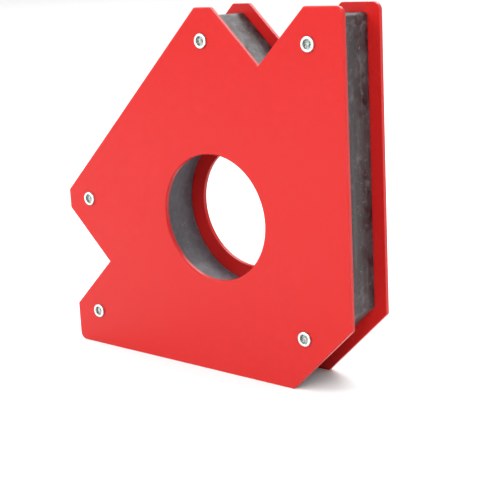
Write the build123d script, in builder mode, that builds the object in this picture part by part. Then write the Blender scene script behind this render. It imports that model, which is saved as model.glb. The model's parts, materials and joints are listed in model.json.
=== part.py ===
from build123d import *
import os
from math import sqrt

# Arrow-shaped magnetic welding holder: two steel plates riveted over a magnet core.
# The holder stands on its bottom working edge. X runs along that edge, Y runs from the
# front plate to the rear plate, Z is up. The origin is below the middle of the holder.
# Points in the plates' plane are given as (across, up): the distance to the left of the
# right-hand edge, and the height above the bottom edge.

# Plate outline
SIDE = 140.0            # length of each of the two square working sides
NOSE_CUT = 26.6         # leg of the 45 degree cut across the square corner
NOTCH_CENTRE = 36.9     # from a working side to the bottom of the notch beyond it
NOTCH_DEPTH = 20.9      # depth of each 90 degree notch, and half of its width
HORN_END = 65.5         # from a working side to the end of the long diagonal edge
FINGER_RADIUS = 3.0     # rounded tips of the two square corners
CORNER_RADIUS = 1.2     # every other outward corner
ARROW_CENTRE = 61.3     # the round hole's distance from both working sides
HOLE_RADIUS = 24.4

# Thicknesses, front to back
PLATE = 2.0
CORE_DEPTH = 21.0
FACE_ROUND = 0.5        # rolled-over arris on the outer face of a plate
INNER_ROUND = 0.2       # deburred arris on the face against the core

# Core between the plates
CORE_INSET = 4.2        # the core's outline is the plates' outline moved inwards by this much
CORE_SHIFT = 0.7        # then it lies this much farther from both working sides
CORE_CORNER_RADIUS = 1.5
CORE_BORE_RADIUS = 30.5
CORE_CHAMFER = 0.4      # bevel that leaves a narrow groove beside each plate

# Ferrite block magnets, two deep, three pockets along each working edge
MAGNET_LENGTH = 25.0
MAGNET_WIDTH = 12.0
MAGNET_GAP = 3.0        # web of core between two pockets of a row
POCKET_CLEARANCE = 0.15
POCKET_WALL = 2.5       # core wall outside a pocket
ROW_MIDDLE = 74.5       # middle of the side and base rows, from the square corner
BLOCKS_PER_ROW = 3

# Semi-tubular rivets: a pan head at the back, a rolled ring round a crater at the front
SHANK_RADIUS = 2.0
RIVET_HOLE_RADIUS = 2.1
CORE_RIVET_HOLE_RADIUS = 2.3
HEAD_RADIUS = 3.6
HEAD_HEIGHT = 0.9
HEAD_ROUND = 0.7
RING_RADIUS = 2.8
RING_HEIGHT = 0.9
RING_OUTER_ROLL = 0.5
RING_INNER_ROLL = 0.35
CRATER_MOUTH_RADIUS = 1.9
CRATER_FLOOR_RADIUS = 1.6
CRATER_DEPTH = 0.3      # below the plate's face
NIB_RADIUS = 0.7        # nib that the riveting punch leaves in the crater
NIB_HEIGHT = 0.5
RIVETS = {
    "rivet_top_finger": (14.5, 127.2),
    "rivet_top_horn": (62.7, 127.9),
    "rivet_left_horn": (127.9, 62.7),
    "rivet_lower_finger": (127.2, 14.5),
    "rivet_nose": (20.6, 20.6),
}

HALF_DEPTH = PLATE + CORE_DEPTH / 2
MAGNET_DEPTH = CORE_DEPTH / 2
MAGNET_PITCH = MAGNET_LENGTH + MAGNET_GAP
MAGNET_FROM_EDGE = CORE_INSET + CORE_SHIFT + POCKET_WALL + MAGNET_WIDTH / 2


def in_plane(across, up):
    """Plate-plane coordinates (X, Z) of a point given from the square corner."""
    return (SIDE / 2 - across, up)


def arrow_corners(shift):
    """Corners of the outline, shifted away from both working sides.

    The half above the arrow's centre line comes first, then its mirror image.
    """
    upper = [
        (0, NOSE_CUT),
        (0, SIDE),
        (NOTCH_CENTRE - NOTCH_DEPTH, SIDE),
        (NOTCH_CENTRE, SIDE - NOTCH_DEPTH),
        (NOTCH_CENTRE + NOTCH_DEPTH, SIDE),
        (HORN_END, SIDE),
    ]
    lower = [(up, across) for across, up in reversed(upper)]
    return [in_plane(across + shift, up + shift) for across, up in upper + lower]


def arrow_sketch(inset, shift, finger_radius, corner_radius, hole_radius):
    """Arrow outline, shifted and moved inwards, with rounded corners and the round hole."""
    hole_centre = in_plane(ARROW_CENTRE, ARROW_CENTRE)
    with BuildSketch() as sketch:
        with BuildLine():
            Polyline(*arrow_corners(shift), close=True)
        make_face()
        if inset > 0:
            offset(amount=-inset, kind=Kind.INTERSECTION)
        # The two notch bottoms are nearest the hole and stay sharp, the finger tips are farthest
        corners = sketch.vertices().sort_by_distance(hole_centre)
        fillet(corners[2:-2], corner_radius)
        finger_tips = sketch.vertices().sort_by_distance(hole_centre)[-2:]
        fillet(finger_tips, finger_radius)
        with Locations(hole_centre):
            Circle(hole_radius, mode=Mode.SUBTRACT)
    return sketch.sketch


def magnet_places():
    """Name, plate-plane centre and turn of each magnet pocket, row by row."""
    diagonal = (SIDE + HORN_END - MAGNET_FROM_EDGE * sqrt(2)) / 2
    rows = {
        "side": (in_plane(MAGNET_FROM_EDGE, ROW_MIDDLE), 90),
        "base": (in_plane(ROW_MIDDLE, MAGNET_FROM_EDGE), 0),
        "diagonal": (in_plane(diagonal, diagonal), 45),
    }
    places = []
    for row, (middle, turn) in rows.items():
        along = Vector(1, 0, 0).rotate(Axis.Z, turn)
        for number in range(BLOCKS_PER_ROW):
            step = (number - (BLOCKS_PER_ROW - 1) / 2) * MAGNET_PITCH
            centre = (middle[0] + step * along.X, middle[1] + step * along.Y)
            places.append((f"magnet_{row}_{number + 1}", centre, turn))
    return places


def finish(piece, name):
    """Label a finished piece and write it as its own file."""
    piece.part.label = name
    export_step(piece.part, f"parts/{name}.step")


os.makedirs("parts", exist_ok=True)
rivet_points = [in_plane(across, up) for across, up in RIVETS.values()]

# Front plate: pressed steel, its outer face and holes rounded over
with BuildPart() as front_plate:
    with BuildSketch(Plane.XZ.offset(CORE_DEPTH / 2)):
        add(arrow_sketch(0, 0, FINGER_RADIUS, CORNER_RADIUS, HOLE_RADIUS))
    extrude(amount=PLATE)
    fillet(front_plate.faces().sort_by(Axis.Y)[0].edges(), FACE_ROUND)
    fillet(front_plate.faces().sort_by(Axis.Y)[-1].edges(), INNER_ROUND)
    with BuildSketch(Plane.XZ.offset(CORE_DEPTH / 2)):
        with Locations(*rivet_points):
            Circle(RIVET_HOLE_RADIUS)
    extrude(amount=PLATE, mode=Mode.SUBTRACT)
finish(front_plate, "front_plate")

# Rear plate: the same pressing turned to face backwards
with BuildPart() as rear_plate:
    add(front_plate.part)
    mirror(about=Plane.XZ, mode=Mode.REPLACE)
finish(rear_plate, "rear_plate")

# Core frame: one moulding that spaces the plates and holds the magnets in pockets
with BuildPart() as core_frame:
    with BuildSketch(Plane.XZ.offset(-CORE_DEPTH / 2)):
        radii = (CORE_CORNER_RADIUS, CORE_CORNER_RADIUS, CORE_BORE_RADIUS)
        add(arrow_sketch(CORE_INSET, CORE_SHIFT, *radii))
        with Locations(*rivet_points):
            Circle(CORE_RIVET_HOLE_RADIUS, mode=Mode.SUBTRACT)
        for _, centre, turn in magnet_places():
            with Locations(centre):
                Rectangle(
                    MAGNET_LENGTH + 2 * POCKET_CLEARANCE,
                    MAGNET_WIDTH + 2 * POCKET_CLEARANCE,
                    rotation=turn,
                    mode=Mode.SUBTRACT,
                )
    extrude(amount=CORE_DEPTH)
    ends = core_frame.faces().filter_by(Axis.Y)
    outlines = [end.outer_wire() for end in ends]
    bores = [max(end.inner_wires(), key=lambda wire: wire.length) for end in ends]
    chamfer([edge for wire in outlines + bores for edge in wire.edges()], CORE_CHAMFER)
finish(core_frame, "core_frame")

# Magnets: each pocket holds two blocks, one against each plate
for name, centre, turn in magnet_places():
    for layer, back in (("front", 0), ("rear", MAGNET_DEPTH)):
        with BuildPart() as magnet:
            with BuildSketch(Plane.XZ.offset(-back)):
                with Locations(centre):
                    Rectangle(MAGNET_LENGTH, MAGNET_WIDTH, rotation=turn)
            extrude(amount=MAGNET_DEPTH)
        finish(magnet, f"{name}_{layer}")

# Rivets: half of the section is drawn beside the rivet's axis, depths from the front face
for name, (across, up) in RIVETS.items():
    x, z = in_plane(across, up)
    with BuildPart() as rivet:
        with BuildSketch(Plane(origin=(x, -HALF_DEPTH, z))) as section:
            with BuildLine():
                Polyline(
                    (0, CRATER_DEPTH - NIB_HEIGHT),
                    (NIB_RADIUS, CRATER_DEPTH - NIB_HEIGHT),
                    (NIB_RADIUS, CRATER_DEPTH),
                    (CRATER_FLOOR_RADIUS, CRATER_DEPTH),
                    (CRATER_MOUTH_RADIUS, -RING_HEIGHT),
                    (RING_RADIUS, -RING_HEIGHT),
                    (RING_RADIUS, 0),
                    (SHANK_RADIUS, 0),
                    (SHANK_RADIUS, 2 * HALF_DEPTH),
                    (HEAD_RADIUS, 2 * HALF_DEPTH),
                    (HEAD_RADIUS, 2 * HALF_DEPTH + HEAD_HEIGHT),
                    (0, 2 * HALF_DEPTH + HEAD_HEIGHT),
                    close=True,
                )
            make_face()
            fillet(section.vertices().group_by(Axis.Y)[-1].sort_by(Axis.X)[-1], HEAD_ROUND)
            fillet(section.vertices().group_by(Axis.Y)[0].sort_by(Axis.X)[-1], RING_OUTER_ROLL)
            fillet(section.vertices().group_by(Axis.Y)[0].sort_by(Axis.X)[0], RING_INNER_ROLL)
        revolve(axis=Axis((x, 0, z), (0, 1, 0)))
    finish(rivet, name)
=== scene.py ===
import json
import math

import bmesh
import bpy
from mathutils import Matrix, Vector, noise


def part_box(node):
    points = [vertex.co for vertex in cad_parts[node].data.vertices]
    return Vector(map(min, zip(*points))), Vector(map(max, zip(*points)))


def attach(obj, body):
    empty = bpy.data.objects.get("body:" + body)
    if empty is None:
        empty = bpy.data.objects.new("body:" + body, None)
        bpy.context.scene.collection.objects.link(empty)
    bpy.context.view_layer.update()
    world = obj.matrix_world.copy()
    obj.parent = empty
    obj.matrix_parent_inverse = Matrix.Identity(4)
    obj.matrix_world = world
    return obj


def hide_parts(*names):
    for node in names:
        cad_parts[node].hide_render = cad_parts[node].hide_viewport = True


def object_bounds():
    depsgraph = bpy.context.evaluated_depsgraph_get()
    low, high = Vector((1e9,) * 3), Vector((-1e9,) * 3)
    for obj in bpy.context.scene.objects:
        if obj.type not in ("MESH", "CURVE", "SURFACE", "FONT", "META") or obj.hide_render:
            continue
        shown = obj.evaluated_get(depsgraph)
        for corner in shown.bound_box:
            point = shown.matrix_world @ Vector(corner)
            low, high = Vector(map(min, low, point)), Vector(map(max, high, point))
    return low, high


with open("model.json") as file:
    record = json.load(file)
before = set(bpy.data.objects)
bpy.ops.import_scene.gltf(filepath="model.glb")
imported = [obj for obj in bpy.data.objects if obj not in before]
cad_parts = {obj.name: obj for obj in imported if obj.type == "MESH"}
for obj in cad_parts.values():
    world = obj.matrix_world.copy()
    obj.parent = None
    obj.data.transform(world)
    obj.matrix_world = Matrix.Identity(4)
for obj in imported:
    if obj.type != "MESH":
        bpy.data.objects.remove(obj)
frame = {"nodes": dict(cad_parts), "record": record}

CAD_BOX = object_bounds()
NODES = frame["nodes"]
BORE = next(mount for mount in frame["record"]["mounts"] if mount["name"] == "central_bore")
BORE_PLACE = Vector(BORE["pos_m"])

# Camera: where it stands in metres, which way it looks, its lens and its shift
CAMERA_PLACE = Vector((0.2863, -0.3334, 0.1582))
CAMERA_AZIMUTH = math.radians(38.95)
CAMERA_ELEVATION = math.radians(12.05)
CAMERA_ROLL = math.radians(-2.77)
CAMERA_LENS = 82.96
CAMERA_SHIFT = -0.1

# Studio: softboxes as name, place in metres, diameter in metres and power in watts
WORLD_BRIGHTNESS = 1.02
FLOOR_HALF_SIDE = 12.0
SOFTBOXES = (
    ("front_right_softbox", Vector((0.6, -0.9, 0.9)), 0.7, 8.2),
    ("front_left_softbox", Vector((-0.6, -0.8, 0.9)), 0.7, 8.0),
    ("back_softbox", Vector((-0.1, 0.7, 0.9)), 0.8, 6.8),
    ("background_softbox", Vector((-2.5, 1.5, 2.5)), 3.0, 16.0),
)

# Core surface, in metres
CORE_STEP = 0.001           # spacing of the points on the core's exposed walls
CORE_WANDER = 0.00014       # size of the moulded walls' slow waves
WANDER_SCALE = 130.0        # slow waves per metre
CORE_RIPPLE = 0.00005       # size of the finer unevenness on top of them
RIPPLE_SCALE = 640.0        # ripples per metre
BORE_RADIUS = 0.0305
EXPOSED_SPAN = 0.05         # the outer wall and the bore are wider than this, pockets are not
WALL_TILT = 0.1             # a wall's normal has a smaller Y part than this
WALL_FADE = 0.0015          # over this distance from the bevel the unevenness grows to its full size
CORE_CHAMFER = 0.0004       # bevel on the core's edges, which stays as it is
WELD_DISTANCE = 1e-6
SHARP_ANGLE = math.radians(25.0)


# ---------------------------------------------------------------- node helpers

class Shader:
    """A node material under construction. Sizes inside it are in metres, from object coordinates."""

    def __init__(self, name):
        self.material = bpy.data.materials.new(name)
        self.material.use_nodes = True
        self.tree = self.material.node_tree
        self.tree.nodes.clear()
        self.surface = self.add("ShaderNodeBsdfPrincipled")
        output = self.add("ShaderNodeOutputMaterial")
        self.tree.links.new(self.surface.outputs["BSDF"], output.inputs["Surface"])
        self.place = self.add("ShaderNodeTexCoord").outputs["Object"]

    def add(self, kind, settings=None, **inputs):
        """A node with its settings and its inputs, each a value or another node's output."""
        node = self.tree.nodes.new(kind)
        for name, value in (settings or {}).items():
            setattr(node, name, value)
        for name, value in inputs.items():
            self.put(node.inputs[name.replace("_", " ")], value)
        return node

    def put(self, socket, value):
        if isinstance(value, bpy.types.NodeSocket):
            self.tree.links.new(value, socket)
        else:
            socket.default_value = value

    def stretch(self, scale):
        """Object coordinates multiplied by a factor for each axis."""
        return self.add("ShaderNodeMapping", Vector=self.place, Scale=scale).outputs["Vector"]

    def noise(self, scale, detail=2.0, roughness=0.5, where=None, distortion=0.0):
        """Noise from 0 to 1 with scale features per metre."""
        node = self.add("ShaderNodeTexNoise", Vector=where or self.place, Scale=scale,
                        Detail=detail, Roughness=roughness, Distortion=distortion)
        return node.outputs["Fac"]

    def ramp(self, value, low, high, to_low=0.0, to_high=1.0):
        """value from low to high, turned smoothly into to_low to to_high."""
        node = self.add("ShaderNodeMapRange", {"interpolation_type": "SMOOTHSTEP"}, Value=value)
        for name, number in (("From Min", low), ("From Max", high), ("To Min", to_low), ("To Max", to_high)):
            node.inputs[name].default_value = number
        return node.outputs["Result"]

    def math(self, operation, first, second=0.0):
        node = self.tree.nodes.new("ShaderNodeMath")
        node.operation = operation
        self.put(node.inputs[0], first)
        self.put(node.inputs[1], second)
        return node.outputs["Value"]

    def mix(self, amount, first, second):
        """Colour between first and second."""
        node = self.add("ShaderNodeMix", {"data_type": "RGBA"})
        self.put(node.inputs[0], amount)
        for socket, colour in ((node.inputs[6], first), (node.inputs[7], second)):
            self.put(socket, colour if isinstance(colour, bpy.types.NodeSocket) else (*colour, 1.0))
        return node.outputs[2]

    def bump(self, height, distance, strength=1.0, normal=None):
        """Normal bent by a height from 0 to 1 that stands for that distance in metres."""
        node = self.add("ShaderNodeBump", Height=height, Distance=distance, Strength=strength)
        if normal is not None:
            self.put(node.inputs["Normal"], normal)
        return node.outputs["Normal"]

    def split(self, vector):
        """The X, Y and Z outputs of a vector."""
        return self.add("ShaderNodeSeparateXYZ", Vector=vector).outputs

    def finish(self, **inputs):
        for name, value in inputs.items():
            self.put(self.surface.inputs[name.replace("_", " ")], value)
        return self.material


# ---------------------------------------------------------------- materials

def red_powder_coat():
    """Semi-gloss red powder coat with orange peel, paler along the arrises: partly a thinner, worn coat and
    partly a painted highlight.
    """
    s = Shader("red_powder_coat")
    normal = s.split(s.add("ShaderNodeNewGeometry").outputs["Normal"])
    facing = s.math("ABSOLUTE", normal["Y"])
    arris = s.math("MULTIPLY", s.ramp(facing, 0.12, 0.45), s.ramp(facing, 0.995, 0.85))
    patches = s.ramp(s.noise(140.0, 3.0, 0.6), 0.35, 0.65)
    cloud = s.noise(22.0, 3.0, 0.5)
    body = s.mix(cloud, (0.450, 0.0115, 0.0105), (0.470, 0.0125, 0.0115))
    # The pale tint on the arrises is partly wear of the thinner coat there and partly a painted highlight
    # along the edges.
    worn_and_painted_highlight = s.math("MULTIPLY", arris, s.ramp(patches, 0.0, 1.0, 0.03, 0.15))
    colour = s.mix(worn_and_painted_highlight, body, (0.60, 0.07, 0.06))
    peel = s.noise(650.0, 2.0, 0.45)
    grain = s.noise(3200.0, 2.0, 0.5)
    relief = s.bump(peel, 0.00006, 0.5, s.bump(grain, 0.000012, 0.5))
    roughness = s.math("ADD", s.ramp(cloud, 0.3, 0.7, 0.20, 0.26), s.math("MULTIPLY", grain, 0.05))
    return s.finish(Base_Color=colour, Roughness=roughness, Normal=relief, Specular_IOR_Level=0.22)


def core_moulding():
    """Dark grey moulded core: stained and mottled, with drawn scratches, pale scuffs and dust."""
    s = Shader("core_moulding")
    stains = s.ramp(s.noise(62.0, 5.0, 0.6, distortion=0.8), 0.41, 0.59)
    mottle = s.ramp(s.noise(380.0, 4.0, 0.7), 0.42, 0.60)
    streaks = s.ramp(s.noise(16.0, 5.0, 0.7, s.stretch((28.0, 28.0, 1.6))), 0.50, 0.64)
    chalk = s.math("MULTIPLY", s.ramp(s.noise(100.0, 5.0, 0.7), 0.48, 0.64), mottle)
    specks = s.ramp(s.noise(1000.0, 2.0, 0.6), 0.65, 0.73)
    place = s.split(s.place)
    axis = (BORE_PLACE.x, BORE_PLACE.z)
    offsets = [s.math("SUBTRACT", place[name], middle) for name, middle in zip("XZ", axis)]
    squares = [s.math("POWER", offset, 2.0) for offset in offsets]
    distance = s.math("SQRT", s.math("ADD", *squares))
    bore = s.ramp(distance, BORE_RADIUS + 0.002, BORE_RADIUS + 0.001)
    colour = s.mix(stains, (0.004, 0.003, 0.004), (0.026, 0.022, 0.024))
    colour = s.mix(s.math("MULTIPLY", mottle, 0.45), colour, (0.034, 0.029, 0.032))
    colour = s.mix(s.math("MULTIPLY", streaks, 0.30), colour, (0.090, 0.082, 0.087))
    colour = s.mix(s.math("MULTIPLY", chalk, 0.40), colour, (0.15, 0.140, 0.146))
    clean = s.mix(mottle, (0.078, 0.080, 0.093), (0.104, 0.107, 0.124))
    colour = s.mix(s.math("MULTIPLY", bore, 0.85), colour, clean)
    colour = s.mix(s.math("MULTIPLY", specks, 0.4), colour, (0.34, 0.33, 0.32))
    relief = s.bump(streaks, 0.00003, 0.5, s.bump(s.noise(1100.0, 4.0, 0.65), 0.00007, 0.6))
    roughness = s.math("ADD", s.ramp(stains, 0.0, 1.0, 0.36, 0.48), s.math("MULTIPLY", mottle, 0.12))
    return s.finish(Base_Color=colour, Roughness=roughness, Normal=relief)


def ferrite():
    """Sintered ferrite: near black, with the fine lines of grinding."""
    s = Shader("ferrite")
    lines = s.noise(90.0, 5.0, 0.7, s.stretch((1.0, 25.0, 25.0)))
    grain = s.noise(2500.0, 3.0, 0.6)
    colour = s.mix(lines, (0.03, 0.03, 0.032), (0.065, 0.064, 0.064))
    relief = s.bump(grain, 0.00002, 0.5)
    return s.finish(Base_Color=colour, Roughness=s.ramp(lines, 0.3, 0.7, 0.4, 0.55), Normal=relief)


def rivet_zinc():
    """Bright zinc plate: polished on the rolled ring and rear head, rougher in the crater, with painted shade
    in the crater and a painted shadow line around the ring's foot.
    """
    s = Shader("rivet_zinc")
    depth = s.split(s.place)["Y"]
    ring_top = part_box("rivet_nose")[0].y
    # On the front side, below the ring's top the zinc is coloured darker grey with flecks: painted shade in
    # the crater and a painted shadow line around the ring's foot.
    crater = s.ramp(depth, ring_top + 0.00005, ring_top + 0.0004)
    painted_shade_mask = s.math("MULTIPLY", crater, s.ramp(depth, 0.002, 0.0))
    flecks = s.noise(2200.0, 3.0, 0.6)
    painted_shade_and_flecks = s.mix(s.ramp(flecks, 0.42, 0.58), (0.20, 0.24, 0.22), (0.66, 0.70, 0.68))
    colour = s.mix(painted_shade_mask, (0.82, 0.82, 0.80), painted_shade_and_flecks)
    roughness = s.math("ADD", s.ramp(painted_shade_mask, 0.0, 1.0, 0.24, 0.36), s.math("MULTIPLY", flecks, 0.08))
    relief = s.bump(flecks, 0.00006, 0.6)
    return s.finish(Base_Color=colour, Metallic=1.0, Roughness=roughness, Normal=relief)


def pale_floor():
    """Smooth white studio floor with a faint paper grain."""
    s = Shader("pale_floor")
    grain = s.noise(400.0, 3.0, 0.6)
    colour = s.mix(grain, (0.88, 0.88, 0.88), (0.92, 0.92, 0.92))
    return s.finish(Base_Color=colour, Roughness=0.7, Normal=s.bump(grain, 0.00005, 0.3))


# ---------------------------------------------------------------- the object

def dress(name, material):
    """Give a CAD node its material."""
    node = NODES[name]
    for slot in node.material_slots:
        slot.material = material


def exposed_walls(bm):
    """Faces square to the plates, in connected groups wide enough to be the outer wall or the bore."""
    waiting = {face for face in bm.faces if abs(face.normal.y) < WALL_TILT}
    exposed = []
    while waiting:
        group = [waiting.pop()]
        for face in group:
            for edge in face.edges:
                fresh = [other for other in edge.link_faces if other in waiting]
                waiting.difference_update(fresh)
                group.extend(fresh)
        across = [corner.co.x for face in group for corner in face.verts]
        if max(across) - min(across) > EXPOSED_SPAN:
            exposed.extend(group)
    return exposed


def split_walls(bm, mark):
    """Cut the marked walls into a grid of about CORE_STEP, first across the depth, then along the outline."""
    for lengthways in (False, True):
        groups = {}
        for edge in {edge for face in bm.faces if face[mark] for edge in face.edges}:
            run = edge.verts[1].co - edge.verts[0].co
            cuts = round(run.length / CORE_STEP) - 1
            if (abs(run.y) < run.length / 2) == lengthways and cuts > 0:
                groups.setdefault(cuts, []).append(edge)
        for cuts, edges in sorted(groups.items()):
            bmesh.ops.subdivide_edges(bm, edges=edges, cuts=cuts, use_grid_fill=True)


def moulded_core():
    """The core frame with its outer wall and bore left slightly uneven, as they came from the mould."""
    bm = bmesh.new()
    bm.from_mesh(NODES["core_frame"].data)
    bmesh.ops.remove_doubles(bm, verts=bm.verts, dist=WELD_DISTANCE)
    mark = bm.faces.layers.int.new("exposed")
    for face in exposed_walls(bm):
        face[mark] = 1
    walls = [face for face in bm.faces if face[mark]]
    bmesh.ops.join_triangles(bm, faces=walls, angle_face_threshold=0.01, angle_shape_threshold=math.pi)
    split_walls(bm, mark)
    bm.normal_update()
    half_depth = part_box("core_frame")[1].y
    for point in bm.verts:
        walls = [face for face in point.link_faces if face[mark]]
        if not walls:
            continue
        outward = sum((face.normal for face in walls), Vector()).normalized()
        room = half_depth - abs(point.co.y) - CORE_CHAMFER
        fade = min(max(room / WALL_FADE, 0.0), 1.0)
        wander = noise.fractal(point.co * WANDER_SCALE, 0.8, 2.0, 3) * CORE_WANDER
        ripple = noise.noise(point.co * RIPPLE_SCALE) * CORE_RIPPLE
        point.co += outward * fade * (wander + ripple)
    mesh = bpy.data.meshes.new("core_frame_moulded")
    bm.to_mesh(mesh)
    bm.free()
    for name in ("custom_normal", "exposed"):
        if name in mesh.attributes:
            mesh.attributes.remove(mesh.attributes[name])
    mesh.shade_smooth()
    mesh.set_sharp_from_angle(angle=SHARP_ANGLE)
    mesh.materials.clear()
    mesh.materials.append(core_moulding())
    core = bpy.data.objects.new("core_frame_moulded", mesh)
    bpy.context.scene.collection.objects.link(core)
    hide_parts("core_frame")
    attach(core, "root")


moulded_core()
coat, magnet, zinc = red_powder_coat(), ferrite(), rivet_zinc()
for name in NODES:
    if name.endswith("_plate"):
        dress(name, coat)
    elif name.startswith("magnet_"):
        dress(name, magnet)
    elif name.startswith("rivet_"):
        dress(name, zinc)


# ---------------------------------------------------------------- studio

def add_floor():
    mesh = bpy.data.meshes.new("studio_floor")
    signs = ((-1, -1), (1, -1), (1, 1), (-1, 1))
    corners = [(x * FLOOR_HALF_SIDE, y * FLOOR_HALF_SIDE, 0.0) for x, y in signs]
    mesh.from_pydata(corners, [], [(0, 1, 2, 3)])
    floor = bpy.data.objects.new("studio_floor", mesh)
    bpy.context.scene.collection.objects.link(floor)
    mesh.materials.append(pale_floor())


def add_softbox(name, place, size, power, aim):
    light = bpy.data.lights.new(name, "AREA")
    light.shape = "DISK"
    light.size = size
    light.energy = power
    box = bpy.data.objects.new(name, light)
    bpy.context.scene.collection.objects.link(box)
    box.location = place
    box.rotation_euler = (aim - box.location).to_track_quat("-Z", "Y").to_euler()


def add_world(brightness):
    world = bpy.data.worlds.new("studio")
    world.use_nodes = True
    background = world.node_tree.nodes["Background"]
    background.inputs["Color"].default_value = (1.0, 1.0, 1.0, 1.0)
    background.inputs["Strength"].default_value = brightness
    bpy.context.scene.world = world


def add_camera():
    camera = bpy.data.cameras.new("camera")
    camera.lens = CAMERA_LENS
    camera.sensor_width = 36.0
    camera.shift_y = CAMERA_SHIFT
    camera.clip_start = 0.01
    holder = bpy.data.objects.new("camera", camera)
    bpy.context.scene.collection.objects.link(holder)
    turn = (Matrix.Rotation(CAMERA_AZIMUTH, 4, "Z")
            @ Matrix.Rotation(math.pi / 2 - CAMERA_ELEVATION, 4, "X")
            @ Matrix.Rotation(CAMERA_ROLL, 4, "Z"))
    holder.matrix_world = Matrix.Translation(CAMERA_PLACE) @ turn
    bpy.context.scene.camera = holder


add_floor()
middle = (CAD_BOX[0] + CAD_BOX[1]) / 2
add_world(WORLD_BRIGHTNESS)
for name, place, size, power in SOFTBOXES:
    add_softbox(name, place, size, power, middle)
add_camera()
bpy.context.scene.view_settings.view_transform = "Standard"
